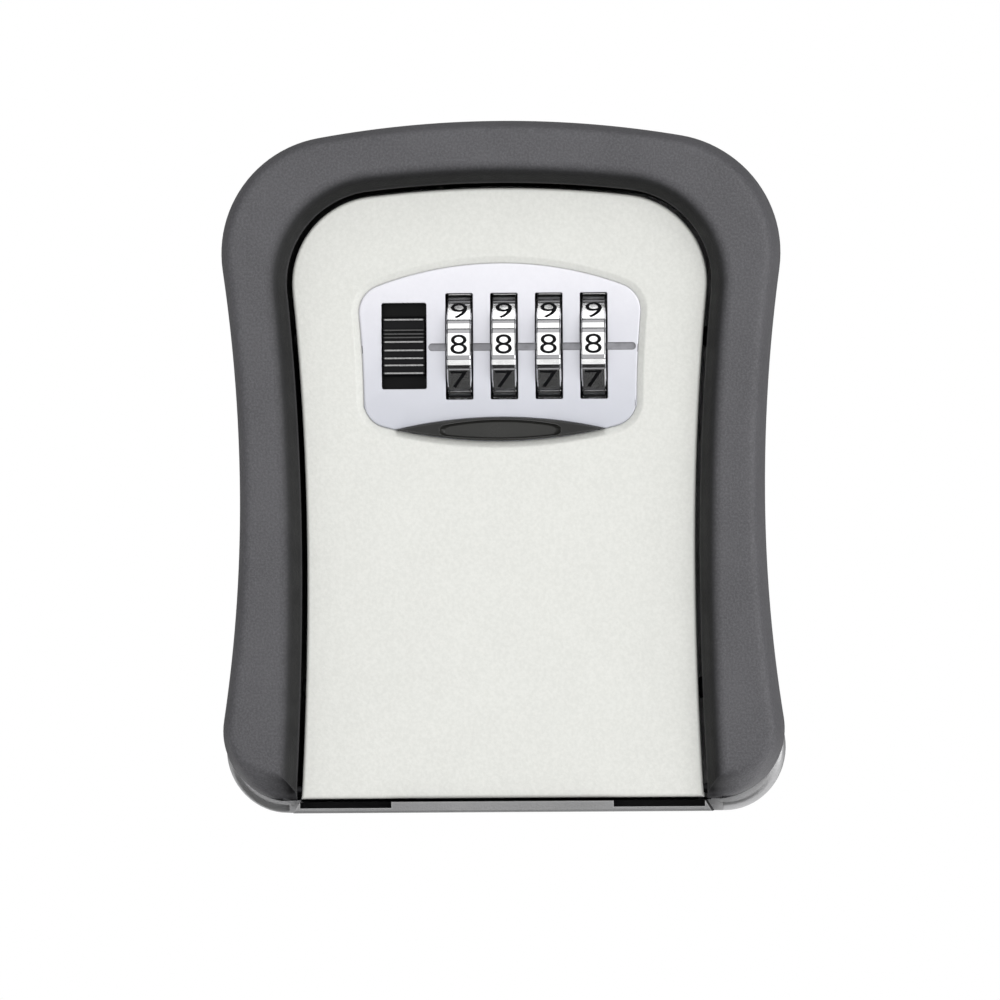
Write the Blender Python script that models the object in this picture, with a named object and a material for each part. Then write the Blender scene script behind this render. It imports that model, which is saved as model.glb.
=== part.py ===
"""Wall-mounted key lock box: a die-cast case with a moulded surround and a drop-down door that carries
a four-wheel combination lock.

Lengths below are millimetres. +Z is up, the door faces -Y and the back of the case lies on y = 0.
"""

import math

import bmesh
import bpy
from mathutils import Vector

MM = 0.001

# outer shape of the case and the surround, seen from the front
TOP_Z = 59.25
BOTTOM_Z = -59.25
CROWN_R = 180.0
TOP_CORNER_R = 20.3
WAIST_X = 45.0
WAIST_Z = -5.0
SIDE_R = 276.0
SIDE_LOW_R = 250.0
FOOT_R = 11.0
FLAT_R = 100000.0

# depths, front to back
CREST_Y = -40.0
NECK_Y = -36.0
DOOR_Y = -35.0
PANEL_Y = -34.4
DOOR_BACK_Y = -33.2
SKIRT_Y = -30.5
SHOULDER_Y = -20.0
SHOULDER_IN_Y = -17.8
FLOOR_Y = -2.2

# door
DOOR_TOP = 47.5
DOOR_BOTTOM = -56.8
DOOR_CROWN_R = 187.0
DOOR_CORNER_R = 15.0
DOOR_WAIST_X = 33.2
DOOR_WAIST_Z = -16.0
DOOR_SIDE_UP_R = 470.0
DOOR_SIDE_LOW_R = 690.0

# clearances outward from the door's edge
LIP_OUT = 0.8
NECK_IN = 0.9
NECK_OUT = 2.9
COVER_OUT = 3.2

# hinge
HINGE_Y = -33.5
HINGE_Z = -55.3
PIN_R = 0.8
PIN_BORE_R = 0.95

# dials
DIAL_Y = -26.9
DIAL_Z = 20.3
DIAL_PITCH = 7.67
DIAL_FIRST_X = -6.95
DIAL_WINDOW_LOW = 11.35
DIAL_WINDOW_HIGH = 29.5
DIAL_WINDOW_HALF = 2.33
WHEEL_HALF = 2.1
# (degrees from the middle of a face, radius): the face between two grooves, then a rib
WHEEL_PROFILE = (
    (-24.8, 9.8), (-21.3, 9.8), (-20.8, 10.15), (-15.7, 10.15),
    (-15.2, 9.8), (-11.2, 9.8), (-10.7, 10.177), (10.7, 10.177),
)
# at rest each figure stands this many degrees above the line of the shaft
WHEEL_LIFT = 2.4
WHEEL_BORE_R = 3.5
SHAFT_R = 1.5
SLEEVE_BORE_R = 1.8
SLEEVE_R = 3.2
FLANGE_R = 5.9
NOTCH_R = 3.9

# finger pull
PULL_TIP = 17.85
SCOOP_HALF = 10.25

# slider
SLIDER_X = -16.4
SLIDER_Z = 20.4
RIBS_Z = (25.05, 23.25, 22.6, 22.0, 21.25, 19.8, 18.45, 17.25, 15.9)

# lock housing
BOX_X = 25.0
BOX_LOW = 5.0
BOX_HIGH = 39.5
BOX_FRONT = -31.6
BOX_BACK = -14.6

STRIKE_SCREW_X = 10.5
SURROUND_SCREWS = ((1, 22.0), (-1, 22.0), (1, -38.0), (-1, -38.0))
SURROUND_SCREW_Y = -26.0
COVER_SCREWS = ((22.6, 7.4), (-22.6, 7.4), (22.6, 37.1), (-22.6, 37.1))
WALL_HOLES = ((22.0, 30.0), (-22.0, 30.0), (22.0, -38.0), (-22.0, -38.0))


def clear_scene():
    for thing in list(bpy.data.objects):
        bpy.data.objects.remove(thing, do_unlink=True)


def material(name, color, metallic, roughness):
    made = bpy.data.materials.new(name)
    made.use_nodes = True
    shader = made.node_tree.nodes["Principled BSDF"]
    shader.inputs["Base Color"].default_value = (*color, 1.0)
    shader.inputs["Metallic"].default_value = metallic
    shader.inputs["Roughness"].default_value = roughness
    return made


# ---------------------------------------------------------------- outlines


def circle_meet(ax, az, ar, bx, bz, br, right):
    """The point where two circles cross, on the right or on the left."""
    gap = math.hypot(bx - ax, bz - az)
    along = (ar * ar - br * br + gap * gap) / (2 * gap)
    height = math.sqrt(max(ar * ar - along * along, 0.0))
    ux, uz = (bx - ax) / gap, (bz - az) / gap
    sides = [
        (ax + ux * along - uz * height * s, az + uz * along + ux * height * s)
        for s in (1, -1)
    ]
    return max(sides) if right else min(sides)


def arc(cx, cz, radius, start, end, count, outward=1.0):
    """Points (x, z, nx, nz) along an arc, the end left out."""
    found = []
    for i in range(count):
        a = start + (end - start) * i / count
        nx, nz = math.cos(a), math.sin(a)
        found.append((cx + radius * nx, cz + radius * nz, nx * outward, nz * outward))
    return found


def half_outline(shape):
    """Right half of a shield-like outline, from the top centre down to the bottom centre."""
    top, crown_r, corner_r, waist_x, waist_z, up_r, low_r, foot_r, bottom, base_r = shape
    crown_z = top - crown_r
    up_x = waist_x + up_r
    low_x = waist_x + low_r
    cx, cz = circle_meet(0, crown_z, crown_r - corner_r, up_x, waist_z, up_r + corner_r, False)
    if cx < 0:
        cx, cz = circle_meet(0, crown_z, crown_r - corner_r, up_x, waist_z, up_r + corner_r, True)
    a_crown = math.atan2(cz - crown_z, cx)
    a_side = math.atan2(waist_z - cz, up_x - cx)
    points = arc(0, crown_z, crown_r, math.pi / 2, a_crown, 5)
    points += arc(cx, cz, corner_r, a_crown, a_side, 8)
    points += arc(up_x, waist_z, up_r, a_side + math.pi, math.pi, 4, -1.0)
    base_z = bottom + base_r
    if foot_r > 0:
        fx, fz = circle_meet(
            0, base_z, base_r - foot_r, low_x, waist_z, low_r + foot_r, True
        )
        other = circle_meet(
            0, base_z, base_r - foot_r, low_x, waist_z, low_r + foot_r, False
        )
        if other[1] < fz:
            fx, fz = other
        a_low = math.atan2(waist_z - fz, low_x - fx)
        a_foot = math.atan2(fz - base_z, fx)
        points += arc(low_x, waist_z, low_r, math.pi, a_low + math.pi, 5, -1.0)
        points += arc(fx, fz, foot_r, a_low, a_foot, 6)
        points += arc(0, base_z, base_r, a_foot, -math.pi / 2, 3)
    else:
        a_low = math.asin((waist_z - bottom) / low_r)
        points += arc(low_x, waist_z, low_r, math.pi, a_low + math.pi, 5, -1.0)
        edge = low_x - low_r * math.cos(a_low)
        points.append((edge, bottom, 1.0, -1.0))
        points += [(edge * (1 - i / 8), bottom, 0.0, -1.0) for i in range(1, 8)]
        points.append((edge * 0.04, bottom, 0.0, -1.0))
    points.append((0.0, bottom, 0.0, -1.0))
    return points


def moved(points, out, out_below=None):
    """The same outline moved outward; the faces that look down may move by their own amount."""
    below = out if out_below is None else out_below
    return [(x + nx * out, z + nz * (out if nz > 0 else below)) for x, z, nx, nz in points]


def closed_loop(half):
    return half + [(-x, z) for x, z in reversed(half[1:-1])]


def level(loop, y):
    return [(x, y, z) for x, z in loop]


BODY = (
    TOP_Z, CROWN_R, TOP_CORNER_R, WAIST_X, WAIST_Z,
    SIDE_R, SIDE_LOW_R, FOOT_R, BOTTOM_Z, FLAT_R,
)
DOOR = (
    DOOR_TOP, DOOR_CROWN_R, DOOR_CORNER_R, DOOR_WAIST_X, DOOR_WAIST_Z,
    DOOR_SIDE_UP_R, DOOR_SIDE_LOW_R, 0.0, DOOR_BOTTOM, FLAT_R,
)
PANEL = (34.5, 60.0, 4.6, 23.2, 10.0, 170.0, 170.0, 4.4, 4.3, 79.0)
# how many points of a half outline come before the waist and before the foot
WAIST_START = 17
FOOT_START = 22
FOOT_BOTTOM = -57.2
FOOT_COVER_R = 12.0
SURROUND = (
    TOP_Z, CROWN_R, TOP_CORNER_R, WAIST_X, WAIST_Z,
    SIDE_R, SIDE_LOW_R, FOOT_COVER_R, FOOT_BOTTOM, FLAT_R,
)


def door_edge(z):
    """Half width of the door at height z."""
    radius = DOOR_SIDE_UP_R if z > DOOR_WAIST_Z else DOOR_SIDE_LOW_R
    return DOOR_WAIST_X + (z - DOOR_WAIST_Z) ** 2 / (2 * radius)


# ---------------------------------------------------------------- mesh helpers


def to_object(name, mesh_data, origin=(0, 0, 0), look=None, angle=30.0):
    bmesh.ops.remove_doubles(mesh_data, verts=mesh_data.verts, dist=1e-7)
    bmesh.ops.recalc_face_normals(mesh_data, faces=mesh_data.faces)
    base = Vector(origin) * MM
    bmesh.ops.translate(mesh_data, verts=mesh_data.verts, vec=-base)
    mesh = bpy.data.meshes.new(name)
    mesh_data.to_mesh(mesh)
    mesh_data.free()
    made = bpy.data.objects.new(name, mesh)
    made.location = base
    bpy.context.scene.collection.objects.link(made)
    if look is not None:
        mesh.materials.append(look)
    mesh.shade_smooth()
    mesh.set_sharp_from_angle(angle=math.radians(angle))
    return made


def loft(rings):
    """One closed skin over rings of equally many points, with both ends capped."""
    body = bmesh.new()
    made = [[body.verts.new(Vector(p) * MM) for p in ring] for ring in rings]
    count = len(rings[0])
    for low, high in zip(made, made[1:]):
        for i in range(count):
            j = (i + 1) % count
            body.faces.new((low[i], low[j], high[j], high[i]))
    body.faces.new(list(reversed(made[0])))
    body.faces.new(made[-1])
    return body


def prism(profile, axis, start, end):
    """A flat outline pushed along one axis: (y, z) for X, (x, z) for Y, (x, y) for Z."""
    place = {
        "X": lambda a, b, t: (t, a, b),
        "Y": lambda a, b, t: (a, t, b),
        "Z": lambda a, b, t: (a, b, t),
    }[axis]
    return loft([[place(a, b, t) for a, b in profile] for t in (start, end)])


def circle(a, b, radius, count=16):
    turns = [2 * math.pi * (i + 0.5) / count for i in range(count)]
    return [(a + radius * math.cos(t), b + radius * math.sin(t)) for t in turns]


def box(x0, x1, y0, y1, z0, z1):
    return prism([(x0, z0), (x1, z0), (x1, z1), (x0, z1)], "Y", y0, y1)


def rounded(x0, x1, z0, z1, radius, steps=4):
    """Corner points of a rectangle with round corners."""
    found = []
    corners = (
        (x1 - radius, z1 - radius, 0),
        (x0 + radius, z1 - radius, 1),
        (x0 + radius, z0 + radius, 2),
        (x1 - radius, z0 + radius, 3),
    )
    for cx, cz, quarter in corners:
        for i in range(steps + 1):
            a = math.pi / 2 * (quarter + i / steps)
            found.append((cx + radius * math.cos(a), cz + radius * math.sin(a)))
    return found


def turned(profile, axis, a, b, count=16):
    """A turned piece: profile is (position along the axis, radius) from end to end."""
    place = {
        "X": lambda u, v, t: (t, u, v),
        "Y": lambda u, v, t: (u, t, v),
        "Z": lambda u, v, t: (u, v, t),
    }[axis]
    return loft([[place(u, v, t) for u, v in circle(a, b, r, count)] for t, r in profile])


def helper(name, mesh_data):
    made = to_object(name, mesh_data)
    made.hide_render = True
    made.display_type = "WIRE"
    return made


def combine(target, mesh_data, operation, label):
    other = helper(f"{target.name}_{label}", mesh_data)
    step = target.modifiers.new(label, "BOOLEAN")
    step.object = other
    step.operation = operation
    step.solver = "EXACT"


def cut(target, mesh_data, label):
    combine(target, mesh_data, "DIFFERENCE", label)


def join(target, mesh_data, label):
    combine(target, mesh_data, "UNION", label)


def screw(name, axis, a, b, under, head_r, head_h, tip, shank_r, look, origin=(0, 0, 0)):
    """A pan head screw: under is where the head's flat side lies, tip is the far end."""
    sign = 1 if tip > under else -1
    profile = [
        (under - sign * head_h, head_r * 0.6),
        (under - sign * head_h * 0.45, head_r),
        (under, head_r),
        (under, shank_r),
        (tip, shank_r * 0.7),
    ]
    return to_object(name, turned(profile, axis, a, b, 10), origin, look)


# ---------------------------------------------------------------- case


def build_rear_case(look):
    outer = half_outline(BODY)
    neck = half_outline(DOOR)

    def ring(half, out, below, y):
        return level(closed_loop(moved(half, out, below)), y)

    rings = [
        ring(outer, -2.7, -1.0, 0.0),
        ring(outer, -1.8, -0.1, -0.9),
        ring(outer, -0.5, 0.0, SHOULDER_Y + 0.5),
        ring(outer, -0.9, -0.2, SHOULDER_Y),
        ring(neck, NECK_OUT, DOOR_BOTTOM - BOTTOM_Z, SHOULDER_Y),
        ring(neck, NECK_OUT, DOOR_BOTTOM - BOTTOM_Z, NECK_Y + 0.4),
        ring(neck, NECK_OUT - 0.4, DOOR_BOTTOM - BOTTOM_Z - 0.4, NECK_Y),
        ring(neck, NECK_IN, 0.55, NECK_Y),
        ring(neck, NECK_IN, 0.55, SHOULDER_IN_Y),
        ring(outer, -2.8, -1.9, SHOULDER_IN_Y),
        ring(outer, -4.0, -1.9, FLOOR_Y),
    ]
    case = to_object("rear_case", loft(rings), look=look)
    for side, word in ((1, "right"), (-1, "left")):
        inner, end = sorted((side * 19.0, side * 34.6))
        cut(case, box(inner, end, -37.0, -28.0, -58.4, -56.9), f"notch_{word}")
        start, stop = sorted((side * 34.0, side * 38.2))
        cut(case, prism(circle(HINGE_Y, HINGE_Z, PIN_BORE_R), "X", start, stop), f"pin_{word}")
        corner = [(34.4, -57.0), (35.9, -59.4), (40.0, -59.4), (40.0, -57.0)]
        cut(case, prism([(side * x, z) for x, z in corner], "Y", -37.0, -20.05), f"corner_{word}")
        hole = turned([(47.0, 0.95), (52.0, 0.95)], "Z", side * STRIKE_SCREW_X, -24.5, 16)
        cut(case, hole, f"strike_{word}")
    for i, (side, z) in enumerate(SURROUND_SCREWS, 1):
        edge = door_edge(z)
        start, stop = sorted((side * (edge - 1.0), side * (edge + 4.2)))
        cut(case, prism(circle(SURROUND_SCREW_Y, z, 1.1, 16), "X", start, stop), f"fix_{i}")
    for i, (x, z) in enumerate(WALL_HOLES, 1):
        hole = turned([(0.5, 2.6), (-1.1, 2.6), (-2.5, 4.3), (-4.0, 4.3)], "Y", x, z, 24)
        cut(case, hole, f"wall_hole_{i}")
    return case


def surround_ring(outer_in, foot_in, outer_y, inner_out, inner_y):
    """One closed ring round the arch: the outer side down, across the foot, the inner side back up."""
    full = half_outline(SURROUND)
    outer = [(x, outer_y, z) for x, z in moved(full[:FOOT_START], -outer_in)]
    inner_x = door_edge(-54.0) + inner_out
    # the rounded foot, cut off where it meets the inner side
    start = full[FOOT_START]
    radius = FOOT_COVER_R
    cx, cz = start[0] - start[2] * radius, start[1] - start[3] * radius
    begin = math.atan2(start[3], start[2])
    wide, tall = radius - outer_in, radius - foot_in
    end = -math.acos(min(max((inner_x - cx) / wide, 0.0), 1.0))
    for i in range(9):
        a = begin + (end - begin) * i / 8
        depth = outer_y + (inner_y - outer_y) * max(i / 4 - 1, 0)
        outer.append((cx + wide * math.cos(a), depth, cz + tall * math.sin(a)))
    floor = outer[-1][2]
    outer.append((inner_x, inner_y, floor))
    door = half_outline(DOOR)
    inner = [(x, inner_y, z) for x, z in moved(door[:WAIST_START], inner_out)]
    for i in range(1, 6):
        z = DOOR_WAIST_Z + (floor - DOOR_WAIST_Z) * i / 6
        inner.append((door_edge(z) + inner_out, inner_y, z))
    right = outer + inner[::-1]
    left = [(-x, y, z) for x, y, z in reversed(right)]
    return right + left[1:-1]


def build_surround(look):
    steps = (
        (0.9, 0.9, -20.3, COVER_OUT, -20.3),
        (0.2, 0.2, -21.2, COVER_OUT, -22.5),
        (0.0, 0.0, -25.5, COVER_OUT, -29.0),
        (0.3, 0.5, -33.5, COVER_OUT, -36.3),
        (0.75, 1.6, -37.0, LIP_OUT, -36.3),
        (1.2, 2.6, -38.7, LIP_OUT, -36.9),
        (1.65, 3.4, -39.5, 1.9, -38.4),
        (2.2, 4.2, -39.9, 3.1, -39.7),
        (3.0, 4.8, CREST_Y, 3.9, CREST_Y),
    )
    arch = to_object("surround", loft([surround_ring(*step) for step in steps]), look=look)
    for i, (side, z) in enumerate(SURROUND_SCREWS, 1):
        edge = door_edge(z)
        start, stop = sorted((side * (edge + 1.5), side * (edge + 8.5)))
        cut(arch, prism(circle(SURROUND_SCREW_Y, z, 1.0, 16), "X", start, stop), f"fix_{i}")
    return arch


def build_surround_screws(look):
    for i, (side, z) in enumerate(SURROUND_SCREWS, 1):
        under = side * (door_edge(z) + NECK_IN - 0.12)
        tip = side * (door_edge(z) + 8.0)
        screw(
            f"surround_screw_{i}", "X", SURROUND_SCREW_Y, z, under, 1.9, 1.1, tip, 0.85, look
        )


def build_strike(look, screw_look):
    """Bent catch plate under the top of the neck, its lip hanging in front of the tongue."""
    profile = [
        (-29.0, 46.6), (-18.3, 46.6), (-18.3, 45.4), (-17.3, 45.4),
        (-17.3, 47.2), (-17.6, 47.6), (-29.0, 47.6),
    ]
    plate = to_object("strike_plate", prism(profile, "X", -13.5, 13.5), look=look)
    for side, word in ((1, "right"), (-1, "left")):
        x = side * STRIKE_SCREW_X
        cut(plate, turned([(45.0, 1.0), (49.0, 1.0)], "Z", x, -24.5, 16), f"hole_{word}")
        trim0, trim1 = sorted((side * 7.6, side * 14.5))
        cut(plate, box(trim0, trim1, -19.4, -16.0, 44.5, 46.62), f"trim_{word}")
        screw(
            f"strike_screw_{word}", "Z", x, -24.5, 46.5, 1.7, 1.0, 50.0, 0.78, screw_look
        )


def build_hinge_pins(look):
    for side, word in ((1, "right"), (-1, "left")):
        profile = [(30.0, 0.5), (30.3, PIN_R), (36.6, PIN_R), (36.9, 0.5)]
        turn = [(side * t, r) for t, r in profile]
        to_object(
            f"hinge_pin_{word}", turned(turn, "X", HINGE_Y, HINGE_Z, 16),
            (0, HINGE_Y, HINGE_Z), look,
        )


# ---------------------------------------------------------------- door

HINGE = (0, HINGE_Y, HINGE_Z)


def build_door_shell(look):
    half = half_outline(DOOR)

    def ring(out, below, y):
        return level(closed_loop(moved(half, out, below)), y)

    rings = [
        ring(-2.0, -3.6, DOOR_BACK_Y),
        ring(-1.7, -3.4, DOOR_BACK_Y + 0.3),
        ring(-1.5, -3.2, SKIRT_Y),
        ring(0.0, 0.0, SKIRT_Y),
        ring(0.0, 0.0, DOOR_Y + 0.6),
        ring(-0.18, -0.18, DOOR_Y + 0.18),
        ring(-0.6, -0.6, DOOR_Y),
    ]
    door = to_object("door_shell", loft(rings), HINGE, look)
    panel = half_outline(PANEL)
    window = [
        level(closed_loop(moved(panel, 1.9)), DOOR_Y - 0.5),
        level(closed_loop(moved(panel, 0.14)), -34.05),
        level(closed_loop(moved(panel, 0.14)), -32.0),
    ]
    cut(door, loft(window), "window")
    for side, word in ((1, "right"), (-1, "left")):
        post = turned([(-33.6, 2.2), (-30.3, 2.2)], "Y", side * 29.0, 20.0, 20)
        join(door, post, f"post_{word}")
        cut(door, turned([(-33.9, 0.95), (-29.5, 0.95)], "Y", side * 29.0, 20.0, 16), f"tap_{word}")
        start, stop = sorted((side * 29.5, side * 36.5))
        cut(door, prism(circle(HINGE_Y, HINGE_Z, PIN_BORE_R), "X", start, stop), f"pin_{word}")
    return door


def pull_outline(out):
    """Lens between two shallow arcs, tip to tip."""
    tip, low, high, count = PULL_TIP + out * 2.2, 4.3 - out, 8.25 + out, 16
    middle = (low + high) / 2
    points = []
    for sign, peak in ((1, high), (-1, low)):
        for i in range(count):
            x = -sign * tip + 2 * sign * tip * i / count
            points.append((x, middle + (peak - middle) * (1 - (x / tip) ** 2)))
    return points


def build_dial_bezel(look):
    half = half_outline(PANEL)

    def ring(out, y):
        return level(closed_loop(moved(half, out)), y)

    rings = [
        ring(1.6, -31.9), ring(1.6, -32.9), ring(0.0, -32.9),
        ring(0.0, PANEL_Y + 0.2), ring(-0.2, PANEL_Y),
    ]
    bezel = to_object("dial_bezel", loft(rings), HINGE, look)
    for i in range(4):
        x = DIAL_FIRST_X + DIAL_PITCH * i
        left, right = x - DIAL_WINDOW_HALF, x + DIAL_WINDOW_HALF
        hole = rounded(left, right, DIAL_WINDOW_LOW, DIAL_WINDOW_HIGH, 0.25, 2)
        cut(bezel, prism(hole, "Y", -35.0, -31.0), f"dial_{i + 1}")
    hole = rounded(SLIDER_X - 3.8, SLIDER_X + 3.8, 13.2, 27.9, 0.3, 2)
    cut(bezel, prism(hole, "Y", -35.0, -31.0), "slider")
    slot = rounded(-12.2, 23.2, DIAL_Z - 0.6, DIAL_Z + 0.6, 0.59, 5)
    cut(bezel, prism(slot, "Y", -35.0, PANEL_Y + 0.5), "groove")
    pocket = rounded(-10.2, 21.6, DIAL_Z - 10.0, DIAL_Z + 9.6, 1.0, 3)
    cut(bezel, prism(pocket, "Y", -33.1, -31.0), "pocket")
    seat = [(x, z) for x, z in pull_outline(0.12)]
    seat = [(x, z - 2.5) if z < 6.2 else (x, z) for x, z in seat]
    cut(bezel, prism(seat, "Y", -35.0, -33.15), "seat")
    return bezel


def scoop_outline(y, less, count=12):
    """The hollow of the pull: arcs above and below, cut off square at both ends."""
    half = SCOOP_HALF - less
    top, bottom = [], []
    for i in range(count + 1):
        x = half * (1 - 2 * i / count)
        end = 0.45 if i in (0, count) else 0.0
        top.append((x, y, 7.78 - 1.0 * (x / SCOOP_HALF) ** 2 - less * 0.5 - end))
        bottom.append((-x, y, 4.62 + 0.62 * (x / SCOOP_HALF) ** 2 + less * 0.3 + end))
    return top + bottom


def build_finger_pull(look):
    def ring(out, y):
        return [(x, y, z) for x, z in pull_outline(out)]

    rings = [ring(0.0, -33.3), ring(0.0, -34.9), ring(-0.12, -35.2), ring(-0.3, -35.35)]
    pull = to_object("finger_pull", loft(rings), HINGE, look)
    cut(pull, loft([scoop_outline(-35.9, 0.0), scoop_outline(-34.5, 0.7)]), "scoop")
    return pull


def build_lock_housing(look):
    """Open frame behind the panel: four walls, a bulkhead for the shaft, screw posts and two ears."""
    outer = rounded(-BOX_X, BOX_X, BOX_LOW, BOX_HIGH, 2.5)
    frame = to_object("lock_housing", prism(outer, "Y", BOX_FRONT, BOX_BACK), HINGE, look)
    inner = rounded(-BOX_X + 1.4, BOX_X - 1.4, BOX_LOW + 1.4, BOX_HIGH - 1.4, 1.2)
    cut(frame, prism(inner, "Y", BOX_FRONT - 1, BOX_BACK + 1), "inside")
    for i, (x, z) in enumerate(COVER_SCREWS, 1):
        join(frame, prism(circle(x, z, 2.0, 16), "Y", BOX_FRONT + 0.3, BOX_BACK - 0.25), f"post_{i}")
    join(frame, box(-11.0, -9.7, -31.3, -17.2, 5.6, 29.5), "bulkhead")
    for side, word in ((1, "right"), (-1, "left")):
        inner_x, end = sorted((side * 24.4, side * 31.4))
        ear = rounded(inner_x, end, 17.2, 22.8, 1.2, 3)
        join(frame, prism(ear, "Y", -30.1, -28.7), f"ear_{word}")
        cut(frame, turned([(-31.0, 1.15), (-28.0, 1.15)], "Y", side * 29.0, 20.0, 16), f"ear_hole_{word}")
    for i, (x, z) in enumerate(COVER_SCREWS, 1):
        cut(frame, turned([(-23.0, 0.95), (-13.0, 0.95)], "Y", x, z, 16), f"tap_{i}")
    bore = [(-12.0, 1.75), (26.0, 1.75)]
    cut(frame, turned(bore, "X", DIAL_Y, DIAL_Z, 20), "shaft_bore")
    cut(frame, box(-6.6, 6.6, -17.1, -13.0, 37.0, 41.0), "tongue_slot")
    return frame


def build_housing_screws(look):
    for side, word in ((1, "right"), (-1, "left")):
        screw(
            f"housing_screw_{word}", "Y", side * 29.0, 20.0,
            -28.6, 1.9, 1.2, -33.5, 0.8, look, HINGE,
        )


def build_back_cover(look):
    outer = rounded(-BOX_X, BOX_X, BOX_LOW, BOX_HIGH, 2.5)
    small = rounded(-BOX_X + 0.3, BOX_X - 0.3, BOX_LOW + 0.3, BOX_HIGH - 0.3, 2.2)
    rings = [level(outer, -14.3), level(outer, -13.4), level(small, -13.1)]
    cover = to_object("back_cover", loft(rings), HINGE, look)
    for i, (x, z) in enumerate(COVER_SCREWS, 1):
        cut(cover, turned([(-15.0, 1.05), (-12.0, 1.05)], "Y", x, z, 16), f"hole_{i}")
    slot = rounded(-14.6, -10.9, 18.2, 22.4, 0.5, 2)
    cut(cover, prism(slot, "Y", -15.0, -12.0), "slot")
    return cover


def build_cover_screws(look):
    for i, (x, z) in enumerate(COVER_SCREWS, 1):
        screw(f"cover_screw_{i}", "Y", x, z, -13.0, 1.8, 1.1, -21.5, 0.8, look, HINGE)


def build_detent_spring(look):
    """Leaf with one finger under each dial."""
    last = DIAL_FIRST_X + 3 * DIAL_PITCH
    base = box(DIAL_FIRST_X - 1.6, last + 1.6, -21.6, -18.0, 6.8, 7.2)
    leaf = to_object("detent_spring", base, HINGE, look)
    finger = [
        (-21.2, 6.8), (-21.2, 7.2), (-27.2, 9.7), (-28.6, 9.7), (-29.6, 8.7),
        (-29.3, 8.5), (-28.5, 9.35), (-27.3, 9.3),
    ]
    for i in range(4):
        x = DIAL_FIRST_X + DIAL_PITCH * i
        join(leaf, prism(finger, "X", x - 1.1, x + 1.1), f"finger_{i + 1}")
    return leaf


# ---------------------------------------------------------------- lock works


def build_number_wheel(index, look):
    """Ten flat faces, each framed by two grooves; one face looks straight out of the window."""
    x = DIAL_FIRST_X + DIAL_PITCH * (index - 1)

    def ring(at, less):
        points = []
        for i in range(10):
            for turn, radius in WHEEL_PROFILE:
                a = math.pi + math.radians(36 * i + turn - WHEEL_LIFT)
                r = radius - less
                points.append((at, DIAL_Y + r * math.cos(a), DIAL_Z + r * math.sin(a)))
        return points

    rings = [
        ring(x - WHEEL_HALF, 0.35), ring(x - WHEEL_HALF + 0.25, 0.0),
        ring(x + WHEEL_HALF - 0.25, 0.0), ring(x + WHEEL_HALF, 0.35),
    ]
    origin = (x, DIAL_Y, DIAL_Z)
    wheel = to_object(f"number_wheel_{index}", loft(rings), origin, look, 12.0)
    bore = [(x - 4.0, WHEEL_BORE_R), (x + 4.0, WHEEL_BORE_R)]
    cut(wheel, turned(bore, "X", DIAL_Y, DIAL_Z, 20), "bore")
    return wheel


def build_lock_sleeve(index, look):
    x = DIAL_FIRST_X + DIAL_PITCH * (index - 1)
    profile = [
        (x - WHEEL_HALF, SLEEVE_R), (x + 2.4, SLEEVE_R),
        (x + 2.4, FLANGE_R), (x + 3.3, FLANGE_R),
    ]
    origin = (x, DIAL_Y, DIAL_Z)
    sleeve = to_object(f"lock_sleeve_{index}", turned(profile, "X", DIAL_Y, DIAL_Z, 24), origin, look)
    bore = [(x - 4.0, SLEEVE_BORE_R), (x + 5.0, SLEEVE_BORE_R)]
    cut(sleeve, turned(bore, "X", DIAL_Y, DIAL_Z, 20), "bore")
    notch = box(x + 1.9, x + 4.0, DIAL_Y - 1.1, DIAL_Y + 1.1, DIAL_Z + NOTCH_R, DIAL_Z + 9.0)
    cut(sleeve, notch, "notch")
    return sleeve


def build_dial_shaft(look):
    profile = [(-13.0, 1.1), (-12.6, SHAFT_R), (23.9, SHAFT_R), (24.3, 1.1)]
    return to_object(
        "dial_shaft", turned(profile, "X", DIAL_Y, DIAL_Z, 20), (0, DIAL_Y, DIAL_Z), look
    )


def coil(turns, radius, wire, start, end, place, steps=10, sides=5):
    """A round wire wound into a coil from start to end."""
    rings = []
    total = int(turns * steps)
    rise = (end - start) / (2 * math.pi * turns)
    for i in range(total + 1):
        a = 2 * math.pi * i / steps
        out = Vector((math.cos(a), math.sin(a), 0))
        along = Vector((-radius * math.sin(a), radius * math.cos(a), rise)).normalized()
        up = along.cross(out)
        centre = out * radius + Vector((0, 0, start + rise * a))
        ring = []
        for k in range(sides):
            t = 2 * math.pi * k / sides
            p = centre + out * (wire * math.cos(t)) + up * (wire * math.sin(t))
            ring.append(place(*p))
        rings.append(ring)
    return loft(rings)


def build_springs(look):
    upright = coil(4, 1.8, 0.33, 7.0, 16.4, lambda u, v, t: (u - 16.8, v - 24.0, t))
    to_object("latch_spring", upright, (-16.8, -24.0, 6.4), look)
    lying = coil(2, 2.15, 0.28, 19.8, 21.2, lambda u, v, t: (t, DIAL_Y + u, DIAL_Z + v))
    to_object("reset_spring", lying, (0, DIAL_Y, DIAL_Z), look)


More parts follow.
